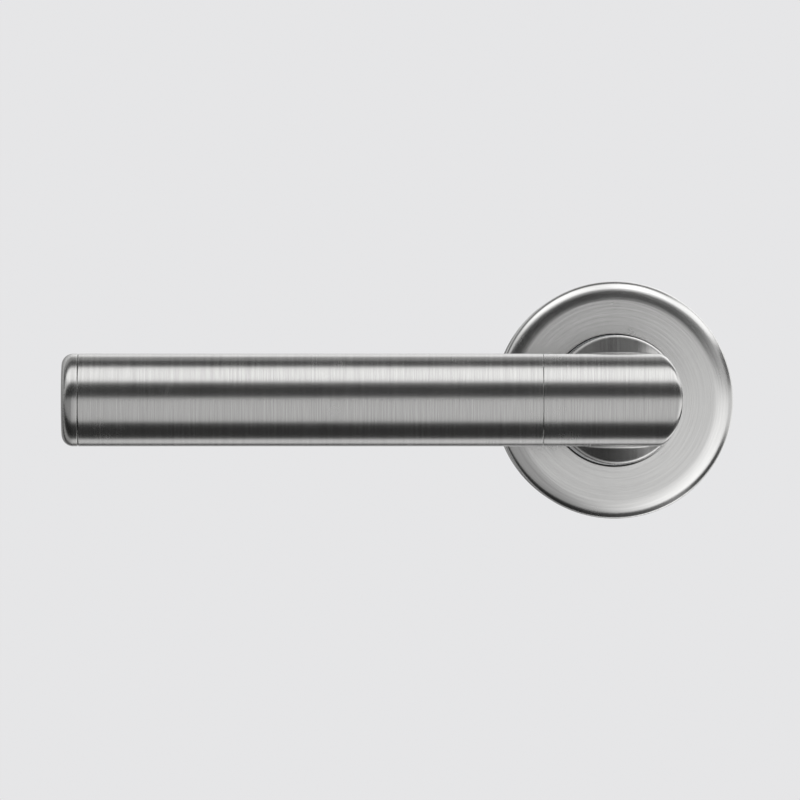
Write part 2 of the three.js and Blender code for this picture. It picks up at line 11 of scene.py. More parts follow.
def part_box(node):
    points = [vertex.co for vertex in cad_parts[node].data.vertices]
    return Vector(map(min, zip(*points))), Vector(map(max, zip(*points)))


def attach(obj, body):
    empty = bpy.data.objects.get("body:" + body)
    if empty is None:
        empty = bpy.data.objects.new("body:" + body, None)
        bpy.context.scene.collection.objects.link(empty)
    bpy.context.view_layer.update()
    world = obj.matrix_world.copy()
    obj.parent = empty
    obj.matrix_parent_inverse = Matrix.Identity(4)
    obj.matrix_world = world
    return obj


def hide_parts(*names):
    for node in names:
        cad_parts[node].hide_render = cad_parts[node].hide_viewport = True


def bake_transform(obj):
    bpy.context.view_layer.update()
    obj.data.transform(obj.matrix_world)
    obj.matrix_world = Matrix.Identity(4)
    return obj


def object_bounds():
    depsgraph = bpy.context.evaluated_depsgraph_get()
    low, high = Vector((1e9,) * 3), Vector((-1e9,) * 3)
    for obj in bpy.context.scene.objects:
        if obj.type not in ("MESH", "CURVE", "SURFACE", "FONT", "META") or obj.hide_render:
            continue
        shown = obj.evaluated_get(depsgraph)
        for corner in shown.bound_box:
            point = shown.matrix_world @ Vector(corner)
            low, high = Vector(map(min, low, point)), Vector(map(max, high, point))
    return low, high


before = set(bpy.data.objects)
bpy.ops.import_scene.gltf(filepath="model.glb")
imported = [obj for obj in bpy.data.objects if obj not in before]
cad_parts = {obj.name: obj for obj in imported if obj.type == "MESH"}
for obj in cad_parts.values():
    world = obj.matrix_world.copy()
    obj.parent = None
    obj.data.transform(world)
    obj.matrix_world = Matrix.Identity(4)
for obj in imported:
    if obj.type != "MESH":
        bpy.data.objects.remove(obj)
cad_low, cad_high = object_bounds()

# ---- Sizes ----
# Pieces are modelled in millimetres in the inner handle's side frame: +Y points out of the door, and the
# door's face is at Y = 0. place() takes them to metres and to either side of the door.

MM = 0.001
WAYS = {"inner": 1, "outer": -1}
DOOR_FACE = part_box("inner_rose_cover")[0].y


def side_box(node):
    """Lowest and highest corner of an inner node, in millimetres in the side frame."""
    return [(corner - Vector((0, DOOR_FACE, 0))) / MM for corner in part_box("inner_" + node)]


GAP = 0.3  # free play between two pieces that run on each other
SEAM = 0.12  # width of the hairline where two polished pieces meet
PAST = 1  # how far a cutting tool reaches past what it cuts
FAR = 20  # for a tool that has to reach past everything
CAST_EDGE, SHEET_EDGE = 0.15, 0.08  # broken edges of cast and of pressed pieces
ROUND, SMALL_ROUND = 128, 48  # sides of the larger and the smaller round pieces
MERGE_FINE, MERGE = 1e-5, 1e-4  # points closer than this are one point
ON_AXIS = 1e-6  # a corner closer to the axis than this is one point on it
SHARP_ANGLE = 32  # degrees between two faces that don't shade as one
HALF_TURNS = (0, 180)

ROSE_RADIUS = side_box("rose_cover")[1].x
ROSE_HEIGHT = side_box("rose_cover")[1].y
ROSE_WALL = 1.2
ROSE_INSIDE = ROSE_HEIGHT - ROSE_WALL
ROSE_HOLE = 14.5
ROSE_CROWN = 0.15  # how much higher the face is at the hole than at the shoulder
ROSE_SHOULDER_WIDTH, ROSE_SHOULDER_HEIGHT = 4.5, 2.4

GRIP_LOW, GRIP_HIGH = side_box("grip_tube")
GRIP_RADIUS = GRIP_HIGH.z
GRIP_AXIS = (GRIP_LOW.y + GRIP_HIGH.y) / 2
NECK_RADIUS = side_box("lever_neck")[1].x
NECK_END = side_box("lever_neck")[0].y
SHOULDER = ROSE_INSIDE + 0.1
JOURNAL = 10.8  # radius of the neck's end that turns in the bush
JOURNAL_FLAT = 9.6  # spindle axis to the journal's flats

PLATE_RADIUS = side_box("mounting_plate")[1].x
PLATE_HEIGHT = side_box("mounting_plate")[1].y
BACK_RECESS, BACK_DEPTH = 14.9, 2.2  # hollow in the plate's back for the circlip
DRIVER_LOW, DRIVER_HIGH = (corner.y for corner in side_box("spring_driver"))
DRIVER_PLATE = PLATE_HEIGHT - 1.8  # underside of the driver's flat ring
DRIVER_RADIUS = 14.6
STOP_RADIUS = 22.6
LUG_START, LUG_END, TRAVEL, CHANNEL_END = 20, 30, 45, 160  # degrees round the spindle, at rest
SPRING_ARCH = 18.4  # spindle axis to the middle of the return springs
COIL_RADIUS, COIL_WIRE = 1.75, 0.35
CHANNEL_INNER, CHANNEL_OUTER, CHANNEL_FLOOR = 16.1, 20.9, 2.9
BOLT_OFFSET = (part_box("through_bolt_right")[0].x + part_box("through_bolt_right")[1].x) / 2 / MM

# ---- Mesh helpers ----


def mesh_of(vertices, faces):
    """A closed mesh with its faces pointing out."""
    mesh = bpy.data.meshes.new("shape")
    mesh.from_pydata([tuple(v) for v in vertices], [], faces)
    shell = bmesh.new()
    shell.from_mesh(mesh)
    bmesh.ops.remove_doubles(shell, verts=shell.verts, dist=MERGE_FINE)
    bmesh.ops.recalc_face_normals(shell, faces=shell.faces)
    shell.to_mesh(mesh)
    shell.free()
    return mesh


def outline(corners, arc_step=10):
    """Points of a closed outline through corners (x, y, rounding), each rounded corner an arc."""
    points = []
    for i, (x, y, rounding) in enumerate(corners):
        here = Vector((x, y))
        if not rounding:
            points.append(here)
            continue
        back = (Vector(corners[i - 1][:2]) - here).normalized()
        on = (Vector(corners[(i + 1) % len(corners)][:2]) - here).normalized()
        half = back.angle(on) / 2
        centre = here + (back + on).normalized() * (rounding / math.sin(half))
        start = here + back * (rounding / math.tan(half)) - centre
        end = here + on * (rounding / math.tan(half)) - centre
        sweep = math.atan2(start.cross(end), start.dot(end))
        first = math.atan2(start.y, start.x)
        steps = max(2, math.ceil(abs(sweep) / math.radians(arc_step)))
        for k in range(steps + 1):
            angle = first + sweep * k / steps
            points.append(centre + rounding * Vector((math.cos(angle), math.sin(angle))))
    return points


def turned(corners, sides=ROUND, arc_step=10):
    """A solid of revolution round Y, from corners (radius, height, rounding)."""
    angles = [2 * math.pi * i / sides for i in range(sides)]
    vertices, rows = [], []
    for radius, height in outline(corners, arc_step):
        start = len(vertices)
        if radius < ON_AXIS:
            rows.append([start] * sides)
            vertices.append((0, height, 0))
        else:
            rows.append(list(range(start, start + sides)))
            vertices += [(radius * math.cos(a), height, radius * math.sin(a)) for a in angles]
    faces = []
    for row, following in zip(rows, rows[1:] + rows[:1]):
        for i in range(sides):
            j = (i + 1) % sides
            face = list(dict.fromkeys([row[i], row[j], following[j], following[i]]))
            if len(face) > 2:
                faces.append(face)
    return mesh_of(vertices, faces)


def prism(points, bottom, top):
    """A flat outline of (x, z) points made thick along Y."""
    count = len(points)
    vertices = [(x, y, z) for y in (bottom, top) for x, z in points]
    sides = [[i, (i + 1) % count, count + (i + 1) % count, count + i] for i in range(count)]
    return mesh_of(vertices, [list(range(count)), list(range(count, 2 * count)), *sides])


def box_mesh(low, high):
    """A box between two corners."""
    corners = [(low[0], low[2]), (high[0], low[2]), (high[0], high[2]), (low[0], high[2])]
    return prism(corners, low[1], high[1])


def arc(radius, start, end, step=3):
    """Points of an arc round the origin, in degrees from +X towards +Z."""
    count = max(2, math.ceil(abs(end - start) / step))
    angles = [math.radians(start + (end - start) * i / count) for i in range(count + 1)]
    return [(radius * math.cos(a), radius * math.sin(a)) for a in angles]


def sector(inner, outer, start, end, bottom, top):
    """Part of a flat ring between two angles."""
    return prism(arc(outer, start, end) + arc(inner, end, start), bottom, top)


def rounded_slot(radius, half_width, start, end, bottom, top):
    """A slot along an arc, with half-round ends."""
    body = sector(radius - half_width, radius + half_width, start, end, bottom, top)
    ends = [moved(rod(half_width, bottom, top, 32), polar(radius, angle)) for angle in (start, end)]
    return shaped(body, joins(*ends))


def polar(radius, degrees, height=0):
    angle = math.radians(degrees)
    return (radius * math.cos(angle), height, radius * math.sin(angle))


def rod(radius, bottom, top, sides=SMALL_ROUND):
    return turned([(0, bottom, 0), (radius, bottom, 0), (radius, top, 0), (0, top, 0)], sides)


def moved(mesh, offset=(0, 0, 0), turn=None):
    """The mesh turned about the origin, given (degrees, axis), and then moved."""
    matrix = Matrix.Translation(offset)
    if turn:
        matrix = matrix @ Matrix.Rotation(math.radians(turn[0]), 4, turn[1])
    mesh.transform(matrix)
    return mesh


def shaped(mesh, modifiers):
    """The mesh after a list of modifiers, each (type, settings)."""
    worker = bpy.data.objects.new("worker", mesh)
    bpy.context.scene.collection.objects.link(worker)
    helpers = []
    for kind, settings in modifiers:
        modifier = worker.modifiers.new(kind.lower(), kind)
        for key, value in settings.items():
            if isinstance(value, bpy.types.Mesh):
                value = bpy.data.objects.new("tool", value)
                bpy.context.scene.collection.objects.link(value)
                helpers.append(value)
            setattr(modifier, key, value)
    bpy.context.view_layer.update()
    evaluated = worker.evaluated_get(bpy.context.evaluated_depsgraph_get())
    result = bpy.data.meshes.new_from_object(evaluated)
    for helper in [worker, *helpers]:
        bpy.data.objects.remove(helper)
    return result


def cuts(*tools):
    return [("BOOLEAN", {"operation": "DIFFERENCE", "object": tool}) for tool in tools]


def joins(*others):
    return [("BOOLEAN", {"operation": "UNION", "object": other}) for other in others]


def eased(mesh, width, segments=1, angle=50):
    """The mesh with its hard edges broken."""
    bevel = {"width": width, "segments": segments, "limit_method": "ANGLE", "miter_outer": "MITER_ARC",
             "angle_limit": math.radians(angle), "use_clamp_overlap": True}
    weld = {"merge_threshold": MERGE}
    return shaped(mesh, [("WELD", weld), ("BEVEL", bevel)])


def place(mesh, name, way=None):
    """A new object of the mesh in metres, on one side of the door or as it is in the row frame."""
    mesh = mesh.copy()
    if way:
        mesh.transform(Matrix.Translation((0, DOOR_FACE / MM, 0)))
        mesh.transform(Matrix.Diagonal((1, way, 1, 1)))
    mesh.transform(Matrix.Scale(MM, 4))
    if way == -1:
        mesh.flip_normals()
    mesh.shade_smooth()
    mesh.set_sharp_from_angle(angle=math.radians(SHARP_ANGLE))
    mesh = shaped(mesh, [("WEIGHTED_NORMAL", {"keep_sharp": True})])
    mesh.name = name
    piece = bpy.data.objects.new(name, mesh)
    bpy.context.scene.collection.objects.link(piece)
    return piece


# ---- Node graphs ----


class Value:
    """A socket, on which Python's operators add Math nodes."""

    def __init__(self, graph, socket):
        self.graph, self.socket = graph, socket

    def math(self, operation, *others):
        settings = {"operation": operation}
        values = dict(enumerate([self, *others]))
        return self.graph.add("ShaderNodeMath", settings, values)

    def __add__(self, other):
        return self.math("ADD", other)

    __radd__ = __add__

    def __mul__(self, other):
        return self.math("MULTIPLY", other)

    __rmul__ = __mul__

    def __sub__(self, other):
        return self.math("SUBTRACT", other)

    def __rsub__(self, other):
        return self.graph.add("ShaderNodeMath", {"operation": "SUBTRACT"}, {0: other, 1: self})

    def __truediv__(self, other):
        return self.math("DIVIDE", other)

    def __pow__(self, other):
        return self.math("POWER", other)


class Graph:
    """A node tree, with one method that adds any node."""

    def __init__(self, tree):
        self.tree = tree

    def add(self, kind, settings=None, inputs=None, output=None):
        """Adds a node, sets it up, then sets or links its inputs. Returns one of its outputs."""
        node = self.tree.nodes.new(kind)
        for key, value in (settings or {}).items():
            if key == "stops":
                self._set_stops(node.color_ramp, value)
            else:
                setattr(node, key, value)
        for key, value in (inputs or {}).items():
            self.put(node.inputs[key], value)
        outputs = [socket for socket in node.outputs if socket.enabled]
        if not outputs:
            return node
        return Value(self, node.outputs[output] if output is not None else outputs[0])

    def put(self, socket, value):
        if isinstance(value, Value):
            self.tree.links.new(value.socket, socket)
        else:
            socket.default_value = value

    @staticmethod
    def _set_stops(ramp, stops):
        while len(ramp.elements) > 1:
            ramp.elements.remove(ramp.elements[-1])
        ramp.elements[0].position = stops[0][0]
        for position, _ in stops[1:]:
            ramp.elements.new(position)
        for element, (_, level) in zip(ramp.elements, stops):
            element.color = (level, level, level, 1) if isinstance(level, (int, float)) else (*level, 1)


# ---- Materials ----


class Finish(Graph):
    """A material's graph round one Principled shader."""

    def __init__(self, name, **constants):
        self.material = bpy.data.materials.new(name)
        self.material.use_nodes = True
        super().__init__(self.material.node_tree)
        self.tree.nodes.clear()
        self.shader = self.tree.nodes.new("ShaderNodeBsdfPrincipled")
        out = self.tree.nodes.new("ShaderNodeOutputMaterial")
        self.tree.links.new(self.shader.outputs[0], out.inputs[0])
        for key, value in constants.items():
            self.put(self.shader.inputs[key.replace("_", " ")], value)
        self.here = self.add("ShaderNodeTexCoord", output="Object")

    def scaled(self, x, y, z):
        """The place on the piece, times so many to the millimetre along each axis."""
        factors = (x / MM, y / MM, z / MM)
        settings = {"operation": "MULTIPLY"}
        return self.add("ShaderNodeVectorMath", settings, {0: self.here, 1: factors})

    def noise(self, vector, detail=2, roughness=0.5):
        inputs = {"Vector": vector, "Scale": 1, "Detail": detail, "Roughness": roughness}
        return self.add("ShaderNodeTexNoise", {}, inputs, "Fac")

    def spread(self, value, low, high):
        """From 0 to 1 as the value runs from low to high."""
        inputs = {"Value": value, "From Min": low, "From Max": high}
        return self.add("ShaderNodeMapRange", {"interpolation_type": "SMOOTHSTEP"}, inputs, "Result")

    def part(self, name):
        """One of the place's coordinates, in millimetres."""
        return self.add("ShaderNodeSeparateXYZ", {}, {0: self.here}, name) / MM

    def blend(self, factor, first, second):
        inputs = {0: factor, 6: first, 7: second}
        return self.add("ShaderNodeMix", {"data_type": "RGBA"}, inputs, 2)

    def colour(self, value):
        self.put(self.shader.inputs["Base Color"], value)

    def tint(self, value, low, high, first, second):
        """Colour that runs from first to second as the value runs from low to high."""
        self.colour(self.blend(self.spread(value, low, high), (*first, 1), (*second, 1)))

    def roughness(self, value):
        self.put(self.shader.inputs["Roughness"], value)

    def bump(self, height, depth):
        """Height from 0 to 1 as a relief, depth millimetres deep."""
        inputs = {"Height": height, "Distance": depth * MM, "Strength": 1.0}
        self.put(self.shader.inputs["Normal"], self.add("ShaderNodeBump", {}, inputs, "Normal"))


SATIN_DARK, SATIN_LIGHT = (0.475, 0.472, 0.466), (0.575, 0.572, 0.565)
SATIN_ROUGHNESS = 0.24
LINES_ACROSS, LINES_ALONG = 3.2, 0.05  # lines to the millimetre across the grain and along it
GRIP_PLANE = DOOR_FACE / MM + GRIP_AXIS  # middle of the door to the grip's axis
ROSE_DARK, ROSE_LIGHT = (0.645, 0.642, 0.635), (0.76, 0.757, 0.75)


def brushed(finish, lines, dark=SATIN_DARK, light=SATIN_LIGHT):
    """Satin grain from line coordinates, with a little uneven pressure and some handling marks."""
    fine = finish.noise(lines, detail=3, roughness=0.7)
    broad = finish.noise(finish.scaled(0.05, 0.05, 0.05), detail=3)
    marks = finish.noise(finish.scaled(0.11, 0.11, 0.11), detail=4, roughness=0.6)
    marks = finish.spread(marks, 0.55, 0.75)
    finish.roughness(SATIN_ROUGHNESS + 0.10 * (fine - 0.5) + 0.06 * (broad - 0.5) + 0.05 * marks)
    finish.tint(fine, 0.25, 0.75, dark, light)
    finish.bump(fine, 0.012)


def satin_bar():
    """Grain round the grip's axis, as from a belt on a turning tube."""
    finish = Finish("satin_steel_bar", Metallic=1.0)
    brushed(finish, finish.scaled(LINES_ACROSS, LINES_ALONG, LINES_ALONG))
    return finish.material


def satin_cap():
    """Grain in circles round the grip's axis, from the rim to the middle of the end face."""
    finish = Finish("satin_steel_cap", Metallic=1.0)
    x, z = finish.part("X"), finish.part("Z")
    y = finish.part("Y").math("ABSOLUTE") - GRIP_PLANE
    radius = (y * y + z * z) ** 0.5
    inputs = {"X": (x + radius) * LINES_ACROSS, "Y": y * LINES_ALONG, "Z": z * LINES_ALONG}
    brushed(finish, finish.add("ShaderNodeCombineXYZ", {}, inputs))
    return finish.material


def satin_neck():
    """Grain round the spindle's axis on the barrel, and round the grip's axis on the head."""
    finish = Finish("satin_steel_neck", Metallic=1.0)
    head_start = GRIP_PLANE - GRIP_RADIUS - 1
    on_head = finish.spread(finish.part("Y").math("ABSOLUTE"), head_start, head_start + 4)
    round_spindle = finish.scaled(LINES_ALONG, LINES_ACROSS, LINES_ALONG)
    round_grip = finish.scaled(LINES_ACROSS, LINES_ALONG, LINES_ALONG)
    inputs = {0: on_head, 4: round_spindle, 5: round_grip}
    brushed(finish, finish.add("ShaderNodeMix", {"data_type": "VECTOR"}, inputs, 1))
    return finish.material


def satin_rose():
    """Grain in circles round the spindle, with the lines set by the distance from it."""
    finish = Finish("satin_steel_rose", Metallic=1.0)
    flat = finish.scaled(1, 0, 1)
    radius = finish.add("ShaderNodeVectorMath", {"operation": "LENGTH"}, {0: flat}, "Value")
    x, z = finish.part("X"), finish.part("Z")
    height = finish.part("Y").math("ABSOLUTE")
    inputs = {"X": (radius + height) * LINES_ACROSS, "Y": x * LINES_ALONG, "Z": z * LINES_ALONG}
    brushed(finish, finish.add("ShaderNodeCombineXYZ", {}, inputs), ROSE_DARK, ROSE_LIGHT)
    return finish.material


def zinc_casting():
    """Die-cast zinc, tumbled: a grey mottle with a fine pitted skin."""
    finish = Finish("zinc_casting", Metallic=1.0)
    mottle = finish.noise(finish.scaled(0.25, 0.25, 0.25), detail=4, roughness=0.6)
    skin = finish.noise(finish.scaled(2.2, 2.2, 2.2), detail=4, roughness=0.65)
    finish.tint(mottle, 0.3, 0.7, (0.30, 0.31, 0.325), (0.44, 0.45, 0.465))
    finish.roughness(0.42 + 0.22 * (skin - 0.5) + 0.12 * (mottle - 0.5))
    finish.bump(skin, 0.05)
    return finish.material


def plated_steel():
    """Bright zinc plate, faintly blue and slightly cloudy."""
    finish = Finish("plated_steel", Metallic=1.0)
    cloud = finish.noise(finish.scaled(0.4, 0.4, 0.4), detail=3)
    grain = finish.noise(finish.scaled(3, 3, 3), detail=3)
    finish.tint(cloud, 0.3, 0.7, (0.55, 0.57, 0.60), (0.63, 0.64, 0.64))
    finish.roughness(0.27 + 0.07 * (cloud - 0.5) + 0.08 * (grain - 0.5))
    finish.bump(grain, 0.015)
    return finish.material


def spring_steel():
    """Drawn wire, oiled to a dark straw grey."""
    finish = Finish("spring_steel", Metallic=1.0)
    drawn = finish.noise(finish.scaled(0.8, 4, 0.8), detail=3)
    finish.tint(drawn, 0.3, 0.7, (0.17, 0.155, 0.135), (0.29, 0.28, 0.26))
    finish.roughness(0.28 + 0.12 * (drawn - 0.5))
    finish.bump(drawn, 0.01)
    return finish.material


def black_steel():
    """Black oxide, with grey coming through in specks."""
    finish = Finish("black_steel", Metallic=0.85)
    specks = finish.noise(finish.scaled(1.6, 1.6, 1.6), detail=5, roughness=0.7)
    finish.tint(specks, 0.55, 0.8, (0.022, 0.022, 0.025), (0.11, 0.11, 0.115))
    finish.roughness(0.38 + 0.2 * (specks - 0.5))
    finish.bump(specks, 0.01)
    return finish.material


def nylon():
    """Moulded black nylon with a fine matt texture."""
    finish = Finish("nylon", Metallic=0.0)
    grain = finish.noise(finish.scaled(5, 5, 5), detail=2)
    haze = finish.noise(finish.scaled(0.3, 0.3, 0.3), detail=3)
    finish.tint(haze, 0.3, 0.7, (0.018, 0.018, 0.02), (0.032, 0.032, 0.034))
    finish.roughness(0.5 + 0.12 * (grain - 0.5))
    finish.bump(grain, 0.02)
    return finish.material


# ---- Repeating shapes: threads, arched springs ----


class Growth(Graph):
    """A geometry tree with named number inputs, turned into a plain mesh."""

    def __init__(self, name, **numbers):
        super().__init__(bpy.data.node_groups.new(name, "GeometryNodeTree"))
        face = self.tree.interface
        face.new_socket("Geometry", in_out="INPUT", socket_type="NodeSocketGeometry")
        face.new_socket("Geometry", in_out="OUTPUT", socket_type="NodeSocketGeometry")
        self.numbers = numbers
        for label, value in numbers.items():
            kind = "NodeSocketInt" if isinstance(value, int) else "NodeSocketFloat"
            face.new_socket(label, in_out="INPUT", socket_type=kind)
        self.source = self.tree.nodes.new("NodeGroupInput")

    def number(self, label):
        return Value(self, self.source.outputs[label])

    def finish(self, geometry):
        """Ends the tree and returns the mesh that it makes."""
        material = bpy.data.materials.get("growth") or bpy.data.materials.new("growth")
        real = self.add("GeometryNodeRealizeInstances", {}, {0: geometry})
        dressed = self.add("GeometryNodeSetMaterial", {}, {"Geometry": real, "Material": material})
        self.tree.links.new(dressed.socket, self.tree.nodes.new("NodeGroupOutput").inputs[0])
        worker = bpy.data.objects.new("worker", bpy.data.meshes.new("seed"))
        bpy.context.scene.collection.objects.link(worker)
        modifier = worker.modifiers.new("growth", "NODES")
        modifier.node_group = self.tree
        for item in self.tree.interface.items_tree:
            if item.in_out == "INPUT" and item.name in self.numbers:
                modifier[item.identifier] = self.numbers[item.name]
        bpy.context.view_layer.update()
        evaluated = worker.evaluated_get(bpy.context.evaluated_depsgraph_get())
        mesh = bpy.data.meshes.new_from_object(evaluated)
        bpy.data.objects.remove(worker)
        mesh.materials.clear()
        return mesh

    def at(self, geometry, radius, angle, height):
        """The geometry with each point put at a radius, an angle and a height round Y."""
        inputs = {"X": radius * angle.math("COSINE"), "Y": height, "Z": radius * angle.math("SINE")}
        spot = self.add("ShaderNodeCombineXYZ", {}, inputs)
        return self.add("GeometryNodeSetPosition", {}, {"Geometry": geometry, "Position": spot})

    def line(self, points):
        """A curve of so many points, and the share of its length at each of them."""
        line = self.add("GeometryNodeCurvePrimitiveLine")
        line = self.add("GeometryNodeResampleCurve", {}, {"Curve": line, "Count": points})
        return line, self.add("GeometryNodeSplineParameter", output="Factor")

    def wire(self, curve, sides):
        """A closed round wire along the curve, as a mesh."""
        inputs = {"Resolution": sides, "Radius": self.number("Wire")}
        section = self.add("GeometryNodeCurvePrimitiveCircle", {}, inputs)
        inputs = {"Curve": curve, "Profile Curve": section, "Fill Caps": True}
        return tidied(self.finish(self.add("GeometryNodeCurveToMesh", {}, inputs)))


ROWS_TO_A_TURN = 8
FLANK, ROOT_FLAT = 3.2, 0.2  # steepness of a thread's flanks, and how much is cut off as a flat root
END_ROW = 0.001  # the rows closer than this to either end are drawn in to the axis


def thread(core, crest, pitch, bottom, top, sides=36):
    """A closed threaded rod round Y, whose ridge runs out at both ends."""
    turns = math.ceil((top - bottom) / pitch) + 2
    grow = Growth("thread", Core=float(core), Depth=float(crest - core), Pitch=float(pitch),
                  Bottom=float(bottom), Top=float(top), Around=sides + 1, Along=turns * ROWS_TO_A_TURN + 1)
    rise, low, high = grow.number("Pitch"), grow.number("Bottom"), grow.number("Top")
    settings = {"Size X": 1.0, "Size Y": 1.0, "Vertices X": grow.number("Around"),
                "Vertices Y": grow.number("Along")}
    grid = grow.add("GeometryNodeMeshGrid", {}, settings, "Mesh")
    spot = grow.add("GeometryNodeInputPosition")
    around = grow.add("ShaderNodeSeparateXYZ", {}, {0: spot}, "X") + 0.5
    along = grow.add("ShaderNodeSeparateXYZ", {}, {0: spot}, "Y") + 0.5
    phase = along * turns
    level = low + rise * (phase + around - 1.5)
    ridge = FLANK / 2 - FLANK * (phase.math("FRACT") - 0.5).math("ABSOLUTE") - ROOT_FLAT
    ridge = ridge.math("MAXIMUM", 0).math("MINIMUM", 1)
    fade = ((level - low) / rise).math("MAXIMUM", 0).math("MINIMUM", 1)
    fade = fade.math("MINIMUM", ((high - level) / rise).math("MAXIMUM", 0))
    before_end = (1 - END_ROW - along).math("SIGN")
    inside = (along - END_ROW).math("SIGN").math("MINIMUM", before_end).math("MAXIMUM", 0)
    radius = (grow.number("Core") + grow.number("Depth") * ridge * fade) * inside
    angle = around * (2 * math.pi)
    height = level.math("MAXIMUM", low).math("MINIMUM", high)
    inputs = {"Geometry": grow.at(grid, radius, angle, height), "Distance": MERGE}
    return tidied(grow.finish(grow.add("GeometryNodeMergeByDistance", {}, inputs)))


def tidied(mesh):
    """The mesh without collapsed or doubled faces, with its faces pointing out."""
    shell = bmesh.new()
    shell.from_mesh(mesh)
    bmesh.ops.remove_doubles(shell, verts=shell.verts, dist=MERGE)
    bmesh.ops.dissolve_degenerate(shell, edges=shell.edges, dist=MERGE_FINE)
    bmesh.ops.recalc_face_normals(shell, faces=shell.faces)
    shell.to_mesh(mesh)
    shell.free()
    return mesh


SPRING_TURNS, POINTS_TO_A_TURN = 12, 20
CLOSE_TURNS, CLOSE_RISE = 1.2, 0.06  # turns wound close at each end, and their share of the length
SPRING_REST = 0.5  # degrees between a spring and the lug


def return_spring(number):
    """A compression spring that follows an arch, with its last turns wound close."""
    turn = HALF_TURNS[number]
    wire_angle = math.degrees(COIL_WIRE / SPRING_ARCH)
    start = math.radians(turn + LUG_END + wire_angle + SPRING_REST)
    end = math.radians(turn + CHANNEL_END - wire_angle)
    grow = Growth("arched_spring", Arch=SPRING_ARCH, Coil=COIL_RADIUS, Wire=COIL_WIRE,
                  Turns=float(SPRING_TURNS), Start=start, End=end,
                  Middle=(CHANNEL_FLOOR + PLATE_HEIGHT) / 2, Points=SPRING_TURNS * POINTS_TO_A_TURN)
    line, share = grow.line(grow.number("Points"))
    close = CLOSE_TURNS / SPRING_TURNS
    inputs = {"Value": share, "From Min": close, "From Max": 1 - close}
    open_share = grow.add("ShaderNodeMapRange", {}, inputs, "Result")
    progress = share * (2 * CLOSE_RISE) + open_share * (1 - 2 * CLOSE_RISE)
    along = grow.number("Start") + (grow.number("End") - grow.number("Start")) * progress
    around = share * grow.number("Turns") * (2 * math.pi)
    radius = grow.number("Arch") + grow.number("Coil") * around.math("COSINE")
    height = grow.number("Middle") + grow.number("Coil") * around.math("SINE")
    return grow.wire(grow.at(line, radius, along, height), 10)


SNAP_WIRE, SNAP_RADIUS, SNAP_HEIGHT = 0.5, 24.05, 2.9
SNAP_START, SNAP_END = -70, 250  # degrees, so that the ring is open at the bottom
SNAP_POINTS = 160


def snap_ring():
    """Open ring of round wire."""
    grow = Growth("snap_ring", Wire=SNAP_WIRE, Ring=SNAP_RADIUS, Start=math.radians(SNAP_START),
                  End=math.radians(SNAP_END), Height=SNAP_HEIGHT)
    line, share = grow.line(SNAP_POINTS)
    angle = grow.number("Start") + (grow.number("End") - grow.number("Start")) * share
    return grow.wire(grow.at(line, grow.number("Ring"), angle, grow.number("Height")), 16)


# ---- Lever ----

EDGE_ROUND, SHOULDER_ROUND, FINE_ROUND = 0.7, 0.4, 0.2  # broken edges of the neck
FILLET = 0.5  # between the barrel and the head
VOXEL = 0.42  # size of the first, rough mesh of the neck
CONE_START, CONE_END = GRIP_AXIS - 5.5, GRIP_AXIS - 0.5  # the barrel's end narrows to the grip's width
CONE_RISE, CONE_RUN = CONE_END - CONE_START, NECK_RADIUS - GRIP_RADIUS
NECK_SEAM = GRIP_HIGH.x + SEAM  # where the head is faced off to meet the grip
NECK_REACH = NECK_SEAM - 2  # how far the head reaches before it is faced off
GRIP_BORE = 8
SPIGOT_START, SPIGOT_END = -4, side_box("lever_neck")[0].x
JOURNAL_CHAMFER, JOURNAL_TOP = 0.5, 14
CLIP_GROOVE_RADIUS, CLIP_GROOVE_BOTTOM, CLIP_GROOVE_TOP = 9.8, 0.35, 1.6
SQUARE, SQUARE_DEPTH = 8.5, 40  # the hole for the spindle
MOUTH_RADIUS, MOUTH_END_RADIUS, MOUTH_END = 7.6, 5, NECK_END + 1.6  # countersink of the square hole
SET_SCREW_HEIGHT, SET_SCREW_RADIUS = 17, 2.7
SCREW_LEAD = 0.6  # how much wider the screw hole is at its mouth
SCREW_CORE, SCREW_PITCH = 2.2, 1.0
CUP_RADIUS, CUP_DEPTH = 1.4, 0.7
HEX_CORNER, HEX_DEPTH, HEX_LEAD = 1.73, 3.2, 0.45
CAP_EDGE_RADIUS = 2.5


def round_both(a, b, rounding):
    """Distance field of what is inside both a and b, with a rounded edge between them."""
    outer = np.hypot(np.maximum(a + rounding, 0), np.maximum(b + rounding, 0))
    return np.minimum(-rounding, np.maximum(a, b)) + outer


def round_either(a, b, rounding):
    """Distance field of what is inside a or b, with a fillet between them."""
    return -round_both(-a, -b, rounding)


def neck_field(points):
    """Distance field of the barrel with its cross head, in millimetres."""
    x, y, z = points.T
    radius = np.hypot(x, z)
    cone = (radius - NECK_RADIUS) * CONE_RISE + (y - CONE_START) * CONE_RUN
    cone = cone / math.hypot(CONE_RISE, CONE_RUN)
    barrel = round_both(radius - NECK_RADIUS, cone, EDGE_ROUND)
    barrel = round_both(barrel, y - GRIP_AXIS, FINE_ROUND)
    barrel = round_both(barrel, SHOULDER - y, SHOULDER_ROUND)
    bar = np.hypot(y - GRIP_AXIS, z) - GRIP_RADIUS
    flush = np.where(x > 0, radius, 0) - NECK_RADIUS
    bar = round_both(bar, flush, EDGE_ROUND)
    bar = round_both(bar, NECK_REACH - x, EDGE_ROUND)
    return round_either(barrel, bar, FILLET)


